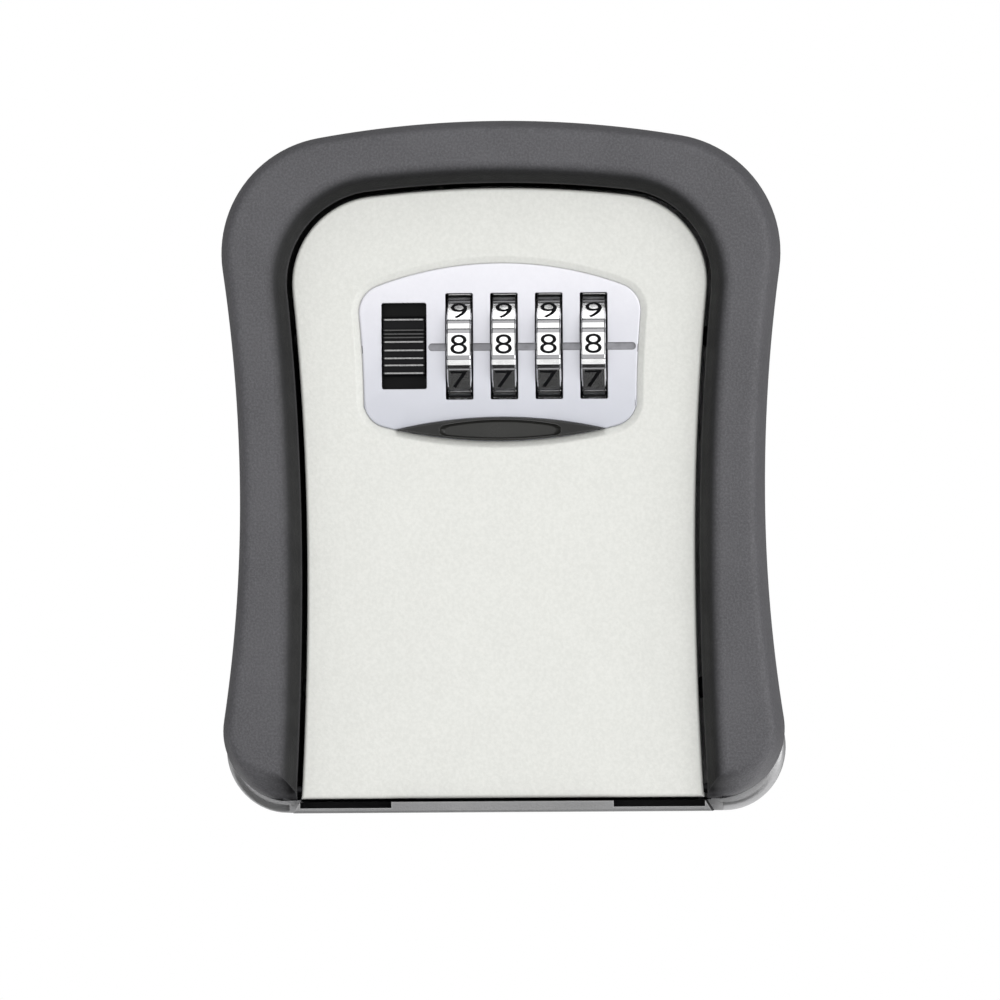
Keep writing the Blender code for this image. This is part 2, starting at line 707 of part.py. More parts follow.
def build_open_slider(look):
    """Ribbed button on a backing plate, with a stem that reaches back to the latch plate."""
    profile = [(-31.2, 12.6), (-31.6, 12.6), (-31.6, 15.4), (-34.2, 15.45)]
    for z in reversed(RIBS_Z):
        profile += [(-34.6, z - 0.22), (-35.15, z - 0.1), (-35.15, z + 0.1), (-34.6, z + 0.22)]
    profile += [(-34.2, 25.5), (-31.6, 25.7), (-31.6, 30.1), (-31.2, 30.1)]
    block = prism(profile, "X", SLIDER_X - 3.5, SLIDER_X + 3.5)
    slider = to_object("open_slider", block, (SLIDER_X, -31.0, SLIDER_Z), look)
    wings = rounded(SLIDER_X - 4.9, SLIDER_X + 4.9, 12.5, 30.2, 0.6, 2)
    join(slider, prism(wings, "Y", -31.55, -30.7), "wings")
    stem = rounded(-19.0, -14.7, 17.0, 23.0, 0.5, 2)
    join(slider, prism(stem, "Y", -31.0, -16.6), "stem")
    return slider


def build_latch_plate(look):
    """Flat plate behind the dials: a tongue at the top and one fence tooth over each sleeve."""
    outline = [
        (-20.0, 12.0), (-14.8, 12.0), (-14.8, 31.2), (19.6, 31.2), (19.6, 36.4),
        (6.0, 36.4), (6.0, 46.0), (5.4, 46.6), (-5.4, 46.6), (-6.0, 46.0),
        (-6.0, 36.4), (-20.0, 36.4),
    ]
    plate = to_object("latch_plate", prism(outline, "Y", -16.4, -15.4), (0, -15.9, 20.0), look)
    tooth = [
        (-15.9, 32.4), (-15.9, 34.6), (-27.7, 34.6), (-27.7, 26.6), (-26.1, 26.6), (-26.1, 32.4),
    ]
    for i in range(4):
        x = DIAL_FIRST_X + DIAL_PITCH * i
        join(plate, prism(tooth, "X", x + 2.45, x + 3.25), f"tooth_{i + 1}")
    return plate


def build_reset_lever(look):
    """Thumb pad on the back cover with an arm that reaches in to the end of the shaft."""
    pad = rounded(-17.5, -9.0, 16.6, 24.0, 1.0, 3)
    small = rounded(-17.2, -9.3, 16.9, 23.7, 0.8, 3)
    rings = [level(pad, -12.8), level(pad, -12.2), level(small, -11.9)]
    lever = to_object("reset_lever", loft(rings), (-13.4, -12.4, DIAL_Z), look)
    for i in range(3):
        x = -15.6 + 2.2 * i
        join(lever, box(x - 0.35, x + 0.35, -12.2, -11.4, 17.8, 22.8), f"rib_{i + 1}")
    join(lever, box(-13.95, -13.15, -27.9, -12.5, 19.0, 21.6), "arm")
    return lever


def main():
    clear_scene()
    silver = material("cast_silver", (0.42, 0.42, 0.43), 1.0, 0.38)
    grey = material("surround_grey", (0.105, 0.105, 0.115), 0.0, 0.5)
    white = material("door_white", (0.80, 0.80, 0.76), 0.0, 0.42)
    satin = material("panel_silver", (0.72, 0.72, 0.75), 0.9, 0.3)
    dark = material("pull_dark", (0.06, 0.06, 0.055), 0.0, 0.3)
    black = material("slider_black", (0.01, 0.01, 0.011), 0.0, 0.35)
    bright = material("wheel_bright", (0.75, 0.75, 0.76), 1.0, 0.2)
    steel = material("steel", (0.5, 0.5, 0.5), 1.0, 0.3)
    dark_steel = material("sleeve_steel", (0.2, 0.2, 0.21), 1.0, 0.35)
    spring = material("spring_steel", (0.45, 0.46, 0.48), 1.0, 0.25)
    moulded = material("housing_black", (0.02, 0.02, 0.022), 0.0, 0.5)
    mid_grey = material("reset_grey", (0.25, 0.25, 0.26), 0.0, 0.45)

    build_rear_case(silver)
    build_surround(grey)
    build_surround_screws(steel)
    build_strike(steel, steel)
    build_hinge_pins(steel)
    build_door_shell(white)
    build_dial_bezel(satin)
    build_finger_pull(dark)
    build_lock_housing(moulded)
    build_housing_screws(steel)
    build_back_cover(moulded)
    build_cover_screws(steel)
    build_detent_spring(spring)
    for index in range(1, 5):
        build_number_wheel(index, bright)
        build_lock_sleeve(index, dark_steel)
    build_dial_shaft(steel)
    build_springs(spring)
    build_open_slider(black)
    build_latch_plate(steel)
    build_reset_lever(mid_grey)


main()
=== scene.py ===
"""Looks of the wall-mounted key lock box: finer meshes, materials, light and camera.

Lengths in the shape code are millimetres, turned into metres by MM. The door faces -Y and +Z is up.
"""

import math

import bmesh
import bpy
from mathutils import Matrix, Vector


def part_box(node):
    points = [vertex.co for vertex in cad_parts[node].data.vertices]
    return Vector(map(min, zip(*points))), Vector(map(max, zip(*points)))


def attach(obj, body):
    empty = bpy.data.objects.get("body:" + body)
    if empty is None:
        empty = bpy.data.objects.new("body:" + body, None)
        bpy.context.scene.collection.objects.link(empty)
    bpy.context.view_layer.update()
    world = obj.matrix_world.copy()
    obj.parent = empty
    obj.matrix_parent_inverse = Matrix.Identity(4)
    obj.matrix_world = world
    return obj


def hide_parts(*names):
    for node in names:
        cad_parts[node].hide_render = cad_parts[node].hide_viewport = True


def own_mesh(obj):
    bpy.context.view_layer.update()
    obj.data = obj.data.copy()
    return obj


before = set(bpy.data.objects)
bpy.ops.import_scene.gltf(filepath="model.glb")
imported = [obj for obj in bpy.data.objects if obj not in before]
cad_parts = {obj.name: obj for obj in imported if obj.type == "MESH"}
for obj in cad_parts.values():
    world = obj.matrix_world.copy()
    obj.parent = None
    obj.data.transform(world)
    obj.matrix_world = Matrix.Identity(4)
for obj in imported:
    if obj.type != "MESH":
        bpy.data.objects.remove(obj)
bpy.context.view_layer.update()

MM = 0.001
FLAT_R = 100000.0
# Outlines: (top, radius of the crown and of the corners, waist x and z, radius of the sides above
# and below the waist, radius of the feet, bottom, radius of the bottom edge)
BODY = (59.25, 180.0, 20.3, 45.0, -5.0, 276.0, 250.0, 11.0, -59.25, FLAT_R)
SURROUND = (59.25, 180.0, 20.3, 45.0, -5.0, 276.0, 250.0, 12.0, -57.2, FLAT_R)
DOOR = (47.5, 187.0, 15.0, 33.2, -16.0, 470.0, 690.0, 0.0, -56.8, FLAT_R)
PANEL = (34.5, 60.0, 4.6, 23.2, 10.0, 170.0, 170.0, 4.4, 4.3, 79.0)
DETAIL = 3
WAIST_START = 17 * DETAIL
FOOT_START = 22 * DETAIL
FOOT_COVER_R = 12.0
DOOR_WAIST_X, DOOR_WAIST_Z, DOOR_SIDE_UP_R, DOOR_SIDE_LOW_R = DOOR[3:7]
HINGE_Y, HINGE_Z = -33.5, -55.3
BORE_R = 0.95
HOUSING_SCREW_X, HOUSING_SCREW_Z = 29.0, 20.0
DIAL_Y, DIAL_Z, DIAL_PITCH, DIAL_FIRST_X = -26.9, 20.3, 7.67, -6.95
FACE_R, WHEEL_LIFT = 10.0, 2.4
DIGIT_TALL, DIGIT_WIDER = 3.35, 1.38
PANEL_FRONT, PANEL_BACK, PANEL_EASE = -34.4, -31.0, 0.16
WINDOW_HALF, WINDOW_Z = 2.33, (11.35, 29.5)
SLOT_HALF, SLOT_Z = 3.8, (13.2, 27.9)
GROOVE_X, GROOVE_HALF = (-12.2, 23.2), 0.6
PULL_TIP, SCOOP_HALF = 17.85, 10.25
SLIDER_X = -16.4
RIBS_Z = (25.05, 23.25, 22.6, 22.0, 21.25, 19.8, 18.45, 17.25, 15.9)
SURROUND_SCREWS = ((1, 22.0), (-1, 22.0), (1, -38.0), (-1, -38.0))
WALL_HOLES = ((22.0, 30.0), (-22.0, 30.0), (22.0, -38.0), (-22.0, -38.0))


# ---------------------------------------------------------------- outlines


def circle_meet(ax, az, ar, bx, bz, br, right):
    """The point where two circles cross, on the right or on the left."""
    gap = math.hypot(bx - ax, bz - az)
    along = (ar * ar - br * br + gap * gap) / (2 * gap)
    height = math.sqrt(max(ar * ar - along * along, 0.0))
    ux, uz = (bx - ax) / gap, (bz - az) / gap
    sides = [
        (ax + ux * along - uz * height * s, az + uz * along + ux * height * s)
        for s in (1, -1)
    ]
    return max(sides) if right else min(sides)


def arc(cx, cz, radius, start, end, count, outward=1.0):
    """Points (x, z, nx, nz) along an arc, the end left out."""
    found = []
    for i in range(count):
        a = start + (end - start) * i / count
        nx, nz = math.cos(a), math.sin(a)
        found.append((cx + radius * nx, cz + radius * nz, nx * outward, nz * outward))
    return found


def half_outline(shape):
    """Right half of a shield-like outline, from the top centre down to the bottom centre."""
    top, crown_r, corner_r, waist_x, waist_z, up_r, low_r, foot_r, bottom, base_r = shape
    crown_z = top - crown_r
    up_x = waist_x + up_r
    low_x = waist_x + low_r
    cx, cz = circle_meet(0, crown_z, crown_r - corner_r, up_x, waist_z, up_r + corner_r, False)
    if cx < 0:
        cx, cz = circle_meet(0, crown_z, crown_r - corner_r, up_x, waist_z, up_r + corner_r, True)
    a_crown = math.atan2(cz - crown_z, cx)
    a_side = math.atan2(waist_z - cz, up_x - cx)
    points = arc(0, crown_z, crown_r, math.pi / 2, a_crown, 5 * DETAIL)
    points += arc(cx, cz, corner_r, a_crown, a_side, 8 * DETAIL)
    points += arc(up_x, waist_z, up_r, a_side + math.pi, math.pi, 4 * DETAIL, -1.0)
    base_z = bottom + base_r
    if foot_r > 0:
        meets = [
            circle_meet(0, base_z, base_r - foot_r, low_x, waist_z, low_r + foot_r, side)
            for side in (True, False)
        ]
        fx, fz = min(meets, key=lambda p: p[1])
        a_low = math.atan2(waist_z - fz, low_x - fx)
        a_foot = math.atan2(fz - base_z, fx)
        points += arc(low_x, waist_z, low_r, math.pi, a_low + math.pi, 5 * DETAIL, -1.0)
        points += arc(fx, fz, foot_r, a_low, a_foot, 6 * DETAIL)
        points += arc(0, base_z, base_r, a_foot, -math.pi / 2, 3 * DETAIL)
    else:
        a_low = math.asin((waist_z - bottom) / low_r)
        points += arc(low_x, waist_z, low_r, math.pi, a_low + math.pi, 5 * DETAIL, -1.0)
        edge = low_x - low_r * math.cos(a_low)
        points.append((edge, bottom, 1.0, -1.0))
        steps = 9 * DETAIL
        points += [(edge * (1 - i / steps), bottom, 0.0, -1.0) for i in range(1, steps)]
    points.append((0.0, bottom, 0.0, -1.0))
    return points


def moved(points, out, out_below=None):
    """The same outline moved outward; the faces that look down may move by their own amount."""
    below = out if out_below is None else out_below
    return [(x + nx * out, z + nz * (out if nz > 0 else below)) for x, z, nx, nz in points]


def closed_loop(half):
    return half + [(-x, z) for x, z in reversed(half[1:-1])]


def level(loop, y):
    return [(x, y, z) for x, z in loop]


def outline_ring(half, out, below, y):
    return level(closed_loop(moved(half, out, below)), y)


def door_edge(z):
    """Half width of the door at height z."""
    radius = DOOR_SIDE_UP_R if z > DOOR_WAIST_Z else DOOR_SIDE_LOW_R
    return DOOR_WAIST_X + (z - DOOR_WAIST_Z) ** 2 / (2 * radius)


# ---------------------------------------------------------------- mesh helpers


def new_object(name, mesh_data):
    bmesh.ops.remove_doubles(mesh_data, verts=mesh_data.verts, dist=1e-7)
    bmesh.ops.recalc_face_normals(mesh_data, faces=mesh_data.faces)
    mesh = bpy.data.meshes.new(name)
    mesh_data.to_mesh(mesh)
    mesh_data.free()
    made = bpy.data.objects.new(name, mesh)
    bpy.context.scene.collection.objects.link(made)
    return made


# A point from its place (a, b) in a flat outline and its place t along the axis
ALONG = {
    "X": lambda a, b, t: (t, a, b),
    "Y": lambda a, b, t: (a, t, b),
    "Z": lambda a, b, t: (a, b, t),
}


def skin(body, rows):
    """Faces between closed rows of equally many vertices, with both ends capped."""
    count = len(rows[0])
    for low, high in zip(rows, rows[1:]):
        for i in range(count):
            j = (i + 1) % count
            body.faces.new((low[i], low[j], high[j], high[i]))
    body.faces.new(list(reversed(rows[0])))
    body.faces.new(rows[-1])


def marked_skin(name, rings):
    """A closed skin over rings of (point, mark), each mark kept on its vertex under that name."""
    body = bmesh.new()
    layer = body.verts.layers.float.new(name)
    rows = []
    for ring in rings:
        row = []
        for point, mark in ring:
            vert = body.verts.new(Vector(point) * MM)
            vert[layer] = mark
            row.append(vert)
        rows.append(row)
    skin(body, rows)
    return body


def loft(rings):
    """A closed skin over rings of equally many points."""
    body = bmesh.new()
    skin(body, [[body.verts.new(Vector(p) * MM) for p in ring] for ring in rings])
    return body


def prism(profile, axis, start, end):
    """A flat outline pushed along one axis: (y, z) for X, (x, z) for Y, (x, y) for Z."""
    place = ALONG[axis]
    return loft([[place(a, b, t) for a, b in profile] for t in (start, end)])


def circle(a, b, radius, count=32):
    turns = [2 * math.pi * (i + 0.5) / count for i in range(count)]
    return [(a + radius * math.cos(t), b + radius * math.sin(t)) for t in turns]


def box(x0, x1, y0, y1, z0, z1):
    return prism([(x0, z0), (x1, z0), (x1, z1), (x0, z1)], "Y", y0, y1)


def rounded(x0, x1, z0, z1, radius, steps=6):
    """Corner points of a rectangle with round corners."""
    found = []
    corners = (
        (x1 - radius, z1 - radius, 0),
        (x0 + radius, z1 - radius, 1),
        (x0 + radius, z0 + radius, 2),
        (x1 - radius, z0 + radius, 3),
    )
    for cx, cz, quarter in corners:
        for i in range(steps + 1):
            a = math.pi / 2 * (quarter + i / steps)
            found.append((cx + radius * math.cos(a), cz + radius * math.sin(a)))
    return found


def turned(profile, axis, a, b, count=32):
    """A turned piece: profile is (position along the axis, radius) from end to end."""
    place = ALONG[axis]
    return loft([[place(u, v, t) for u, v in circle(a, b, r, count)] for t, r in profile])


def combine(target, mesh_data, operation):
    """One Boolean step, applied at once."""
    other = new_object("helper", mesh_data)
    step = target.modifiers.new("step", "BOOLEAN")
    step.object = other
    step.operation = operation
    step.solver = "EXACT"
    graph = bpy.context.evaluated_depsgraph_get()
    result = bpy.data.meshes.new_from_object(target.evaluated_get(graph))
    target.modifiers.clear()
    target.data = result
    spare = other.data
    bpy.data.objects.remove(other, do_unlink=True)
    bpy.data.meshes.remove(spare)


def cut(target, mesh_data):
    combine(target, mesh_data, "DIFFERENCE")


def join(target, mesh_data):
    combine(target, mesh_data, "UNION")


def finish_piece(made, looks, body, nodes, angle=32.0, weighted=True):
    """Smooth shading with true edges, the material, and the place of the piece in the frame."""
    made.data.materials.clear()
    for look in looks if isinstance(looks, (list, tuple)) else [looks]:
        made.data.materials.append(look)
    made.data.shade_smooth()
    made.data.set_sharp_from_angle(angle=math.radians(angle))
    if weighted:
        step = made.modifiers.new("normals", "WEIGHTED_NORMAL")
        step.weight = 100
        step.keep_sharp = True
    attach(made, body)
    if nodes:
        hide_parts(*nodes)
    return made


# ---------------------------------------------------------------- materials


class Tree:
    """A short way to write a node tree."""

    def __init__(self, name):
        self.look = bpy.data.materials.new(name)
        self.look.use_nodes = True
        self.nodes = self.look.node_tree.nodes
        self.links = self.look.node_tree.links
        self.shader = self.nodes["Principled BSDF"]
        self.place = self.add("ShaderNodeTexCoord").outputs["Object"]

    def add(self, kind, **settings):
        node = self.nodes.new(kind)
        for key, value in settings.items():
            setattr(node, key, value)
        return node

    def join(self, source, target):
        self.links.new(source, target)

    def noise(self, scale, detail=3.0, stretch=None, roughness=0.5):
        node = self.add("ShaderNodeTexNoise")
        node.inputs["Scale"].default_value = scale
        node.inputs["Detail"].default_value = detail
        node.inputs["Roughness"].default_value = roughness
        if stretch is None:
            self.join(self.place, node.inputs["Vector"])
        else:
            mapping = self.add("ShaderNodeMapping")
            mapping.inputs["Scale"].default_value = stretch
            self.join(self.place, mapping.inputs["Vector"])
            self.join(mapping.outputs["Vector"], node.inputs["Vector"])
        return node.outputs["Fac"]

    def spread(self, value, low, high, start=0.3, end=0.7):
        node = self.add("ShaderNodeMapRange")
        node.inputs["From Min"].default_value = start
        node.inputs["From Max"].default_value = end
        node.inputs["To Min"].default_value = low
        node.inputs["To Max"].default_value = high
        self.join(value, node.inputs["Value"])
        return node.outputs["Result"]

    def blend(self, factor, first, second):
        """Mix of two colours; either may be a socket."""
        node = self.add("ShaderNodeMix", data_type="RGBA")
        self.join(factor, node.inputs["Factor"])
        for value, socket in ((first, node.inputs[6]), (second, node.inputs[7])):
            if isinstance(value, tuple):
                socket.default_value = (*value, 1.0)
            else:
                self.join(value, socket)
        return node.outputs[2]

    def bump(self, height, strength, distance, before=None):
        node = self.add("ShaderNodeBump")
        node.inputs["Strength"].default_value = strength
        node.inputs["Distance"].default_value = distance
        self.join(height, node.inputs["Height"])
        if before is not None:
            self.join(before, node.inputs["Normal"])
        return node.outputs["Normal"]

    def edges(self, radius, start=0.02, end=0.2):
        """Near 1 along convex and concave edges, 0 on flat faces."""
        soft = self.add("ShaderNodeBevel", samples=4)
        soft.inputs["Radius"].default_value = radius
        true = self.add("ShaderNodeNewGeometry")
        dot = self.add("ShaderNodeVectorMath", operation="DOT_PRODUCT")
        self.join(soft.outputs["Normal"], dot.inputs[0])
        self.join(true.outputs["Normal"], dot.inputs[1])
        return self.spread(dot.outputs["Value"], 1.0, 0.0, 1.0 - end, 1.0 - start)


def shade(color, factor):
    return tuple(min(c * factor, 1.0) for c in color)


def painted(
    name, color, roughness, grain, grain_size, mottle=0.05, edge=None, metallic=0.0, specular=0.5
):
    """Coated or moulded surface: fine grain, faint colour drift, and edges painted lighter, partly
    as rub and partly as a painted highlight.
    """
    t = Tree(name)
    drift = t.noise(90.0, 4.0)
    base = t.blend(t.spread(drift, 0.0, 1.0), shade(color, 1 - mottle), shade(color, 1 + mottle))
    speck = t.noise(1.0 / grain_size, 2.0, roughness=0.6)
    base = t.blend(t.spread(speck, 0.0, 0.16, 0.35, 0.7), base, shade(color, 1.5))
    if edge is not None:
        # edges painted lighter: partly rub, partly a painted highlight
        worn_and_highlit_edge = t.edges(edge[1])
        base = t.blend(worn_and_highlit_edge, base, edge[0])
    t.join(base, t.shader.inputs["Base Color"])
    worn = t.noise(260.0, 3.0)
    t.join(t.spread(worn, roughness - 0.05, roughness + 0.06), t.shader.inputs["Roughness"])
    t.join(t.bump(speck, grain, grain_size * 0.5), t.shader.inputs["Normal"])
    t.shader.inputs["Metallic"].default_value = metallic
    t.shader.inputs["Specular IOR Level"].default_value = specular
    return t.look


def metal(name, color, roughness, stretch, grain, mottle=0.08, edge=None):
    """Bare or plated metal: drawn or cast grain, uneven sheen, and edges painted brighter, partly
    as wear and partly as a painted highlight.
    """
    t = Tree(name)
    drift = t.noise(140.0, 4.0)
    base = t.blend(t.spread(drift, 0.0, 1.0), shade(color, 1 - mottle), shade(color, 1 + mottle))
    fine = t.noise(900.0, 3.0, stretch)
    base = t.blend(t.spread(fine, 0.0, 0.5), base, shade(color, 0.85))
    if edge is not None:
        # edges painted brighter: partly wear, partly a painted highlight
        base = t.blend(t.edges(edge[1]), base, edge[0])
    t.join(base, t.shader.inputs["Base Color"])
    t.join(t.spread(fine, roughness - 0.06, roughness + 0.1), t.shader.inputs["Roughness"])
    t.join(t.bump(fine, grain, 0.00008), t.shader.inputs["Normal"])
    t.shader.inputs["Metallic"].default_value = 1.0
    return t.look


def surround_look():
    """Matt charcoal coat; painted shade turns it almost black down the inner bevel towards the
    door.
    """
    t = Tree("surround_grey")
    color = (0.077, 0.076, 0.082)
    drift = t.noise(70.0, 5.0, roughness=0.6)
    base = t.blend(t.spread(drift, 0.0, 1.0), shade(color, 0.92), shade(color, 1.1))
    speck = t.noise(2600.0, 2.0, roughness=0.7)
    base = t.blend(t.spread(speck, 0.0, 0.5, 0.4, 0.7), base, shade(color, 1.9))
    # painted shade: the inner bevel darkens to near black where the recess round the door lies in
    # shade
    inner = t.add("ShaderNodeAttribute", attribute_name="slope_painted_shade").outputs["Fac"]
    base = t.blend(inner, base, (0.0055, 0.0055, 0.006))
    # edges painted lighter: partly rub, partly a painted highlight
    worn_and_highlit_edge = t.edges(0.0003, 0.03, 0.25)
    base = t.blend(t.spread(worn_and_highlit_edge, 0.0, 0.35, 0.0, 1.0), base, shade(color, 1.8))
    t.join(base, t.shader.inputs["Base Color"])
    worn = t.noise(240.0, 3.0)
    t.join(t.spread(worn, 0.5, 0.62), t.shader.inputs["Roughness"])
    fine = t.bump(speck, 0.45, 0.00014)
    wave = t.noise(500.0, 2.0)
    t.join(t.bump(wave, 0.08, 0.0002, fine), t.shader.inputs["Normal"])
    t.shader.inputs["Specular IOR Level"].default_value = 0.35
    return t.look


def panel_look():
    """Silver paint on the dial panel, with painted shading: lighter at the top, darker and cooler
    towards its foot.
    """
    t = Tree("panel_silver")
    split = t.add("ShaderNodeSeparateXYZ")
    t.join(t.place, split.inputs["Vector"])
    # painted shading: the panel is lighter at the top, darker and bluer at its foot
    height = t.spread(split.outputs["Z"], 0.0, 1.0, 0.004, 0.034)
    base = t.blend(height, (0.50, 0.515, 0.565), (0.775, 0.77, 0.815))
    fine = t.noise(1500.0, 2.0, roughness=0.7)
    base = t.blend(t.spread(fine, 0.0, 0.12), base, (0.6, 0.6, 0.64))
    t.join(base, t.shader.inputs["Base Color"])
    t.join(t.spread(t.noise(300.0, 3.0), 0.3, 0.4), t.shader.inputs["Roughness"])
    t.join(t.bump(fine, 0.12, 0.00006), t.shader.inputs["Normal"])
    t.shader.inputs["Metallic"].default_value = 0.35
    return t.look


def wheel_look():
    """Bright plated dial, its grooves a duller grey."""
    t = Tree("wheel_bright")
    fine = t.noise(1200.0, 3.0, (0.4, 1.0, 1.0))
    base = t.blend(t.spread(fine, 0.0, 1.0), (0.80, 0.80, 0.80), (0.93, 0.93, 0.93))
    low = t.add("ShaderNodeAttribute", attribute_name="groove").outputs["Fac"]
    base = t.blend(low, base, (0.36, 0.36, 0.37))
    t.join(base, t.shader.inputs["Base Color"])
    t.join(t.spread(t.noise(500.0, 3.0), 0.1, 0.18), t.shader.inputs["Roughness"])
    t.join(t.bump(fine, 0.08, 0.00005), t.shader.inputs["Normal"])
    t.shader.inputs["Metallic"].default_value = 0.94
    return t.look


def rib_look():
    """Black button with painted highlights along the crests of its ribs, dimmer on three ribs near
    the middle and none at their ends.
    """
    t = Tree("slider_rib")
    split = t.add("ShaderNodeSeparateXYZ")
    t.join(t.place, split.inputs["Vector"])
    shift = t.add("ShaderNodeMath", operation="ADD")
    t.join(split.outputs["X"], shift.inputs[0])
    shift.inputs[1].default_value = -SLIDER_X * MM
    size = t.add("ShaderNodeMath", operation="ABSOLUTE")
    t.join(shift.outputs["Value"], size.inputs[0])
    # the painted highlight fades out before the ends of the ribs
    middle = t.spread(size.outputs["Value"], 1.0, 0.0, 0.00318, 0.00338)
    fine = t.noise(2500.0, 2.0)
    # painted highlight along the rib crests, light grey
    crest_highlight = t.blend(t.spread(fine, 0.0, 1.0), (0.27, 0.27, 0.27), (0.42, 0.42, 0.42))
    # three ribs near the middle get a dimmer painted highlight
    dim_crest_band = t.add("ShaderNodeMath", operation="COMPARE")
    t.join(split.outputs["Z"], dim_crest_band.inputs[0])
    dim_crest_band.inputs[1].default_value = 22.62 * MM
    dim_crest_band.inputs[2].default_value = 0.95 * MM
    crest_highlight = t.blend(dim_crest_band.outputs["Value"], crest_highlight, (0.06, 0.06, 0.06))
    base = t.blend(middle, (0.005, 0.005, 0.006), crest_highlight)
    t.join(base, t.shader.inputs["Base Color"])
    t.join(t.spread(fine, 0.25, 0.4), t.shader.inputs["Roughness"])
    t.join(t.bump(fine, 0.1, 0.00004), t.shader.inputs["Normal"])
    return t.look


# ---------------------------------------------------------------- case and surround


def facing_in(face):
    """True for a face of the case that looks at the inside of the box."""
    flat = Vector((face.center.x, face.center.z))
    return Vector((face.normal.x, face.normal.z)).dot(flat) < 0


def build_case(looks):
    outer = half_outline(BODY)
    neck = half_outline(DOOR)
    sole = 2.43
    body = [
        outline_ring(outer, -2.7, -1.0, 0.0),
        outline_ring(outer, -2.3, -0.5, -0.25),
        outline_ring(outer, -1.9, -0.15, -0.8),
        outline_ring(outer, -1.75, -0.05, -1.6),
        outline_ring(outer, -0.5, 0.0, -17.9),
        outline_ring(outer, -0.6, -0.1, -18.5),
        outline_ring(outer, -0.8, -0.3, -19.05),
        outline_ring(outer, -1.15, -0.62, -19.5),
        outline_ring(outer, -1.6, -1.05, -19.82),
        outline_ring(outer, -2.2, -1.6, -20.0),
    ]
    collar = [
        outline_ring(neck, 2.9, sole, -19.0),
        outline_ring(neck, 2.9, sole, -35.5),
        outline_ring(neck, 2.8, sole - 0.1, -35.8),
        outline_ring(neck, 2.5, sole - 0.4, -36.0),
    ]
    mouth = [
        outline_ring(neck, 1.05, 0.62, -36.6),
        outline_ring(neck, 1.05, 0.62, -36.0),
        outline_ring(neck, 0.9, 0.55, -35.85),
        outline_ring(neck, 0.9, 0.55, -17.0),
    ]
    room = [
        outline_ring(outer, -2.8, -1.9, -17.8),
        outline_ring(outer, -3.8, -1.9, -3.2),
        outline_ring(outer, -4.1, -2.1, -2.45),
        outline_ring(outer, -4.8, -2.8, -2.2),
    ]
    case = new_object("rear_case_shell", loft(body))
    join(case, loft(collar))
    cut(case, loft(room))
    cut(case, loft(mouth))
    for side in (1, -1):
        start, end = sorted((side * 19.0, side * 34.6))
        cut(case, box(start, end, -37.0, -28.0, -58.4, -56.9))
        corner = [(34.4, -57.0), (35.9, -59.4), (40.0, -59.4), (40.0, -57.0)]
        cut(case, prism([(side * x, z) for x, z in corner], "Y", -37.0, -20.05))
        start, end = sorted((side * 34.0, side * 38.2))
        cut(case, prism(circle(HINGE_Y, HINGE_Z, BORE_R), "X", start, end))
        cut(case, turned([(47.0, BORE_R), (52.0, BORE_R)], "Z", side * 10.5, -24.5))
    for side, z in SURROUND_SCREWS:
        edge = door_edge(z)
        start, end = sorted((side * (edge - 1.0), side * (edge + 4.2)))
        cut(case, prism(circle(-26.0, z, 1.1), "X", start, end))
    for x, z in WALL_HOLES:
        hole = [(0.5, 3.0), (0.0, 2.85), (-0.25, 2.6), (-1.1, 2.6), (-2.5, 4.3), (-4.0, 4.3)]
        cut(case, turned(hole, "Y", x, z, 48))
    finish_piece(case, looks, "case", ["rear_case"])
    for face in case.data.polygons:
        y, z = face.center.y / MM, face.center.z / MM
        # inside faces take the near-black inside coat, which also stands as painted shade in the
        # gap round the door
        inside = -35.7 < y < -20.3 and z > -58.45
        if inside or -19.0 < y < -2.4 and facing_in(face):
            face.material_index = 1
        else:
            # faces in front of the shoulder take a darker copy of the case silver: painted shade
            face.material_index = 2 if y < -20.1 else 0
    return case


# (inset of the sides, inset of the feet, depth) from the back edge to the crest
OUTER_SIDE = (
    (0.9, 0.9, -20.3), (0.35, 0.35, -20.65), (0.1, 0.1, -21.6), (0.0, 0.0, -25.5),
    (0.1, 0.15, -30.0), (0.3, 0.5, -33.8), (0.52, 1.0, -35.8), (0.75, 1.65, -37.1),
    (0.98, 2.2, -38.1), (1.22, 2.75, -38.85), (1.48, 3.25, -39.35), (1.78, 3.7, -39.7),
    (2.15, 4.1, -39.9), (2.6, 4.5, -39.98), (3.3, 5.1, -40.0),
)
# (distance outside the door's edge, depth, how much painted shade darkens the coat) from the back
# edge to the crest
INNER_SIDE = (
    (3.2, -20.3, 1.0), (3.2, -22.5, 1.0), (3.2, -29.0, 1.0), (3.2, -36.3, 1.0),
    (0.8, -36.3, 1.0), (0.8, -36.75, 0.9), (0.88, -36.9, 0.8), (1.1, -37.15, 1.0),
    (1.5, -37.75, 1.0), (1.95, -38.45, 1.0), (2.35, -39.0, 0.97), (2.8, -39.45, 0.85),
    (3.25, -39.75, 0.55), (3.8, -39.93, 0.22), (4.6, -40.0, 0.0),
)


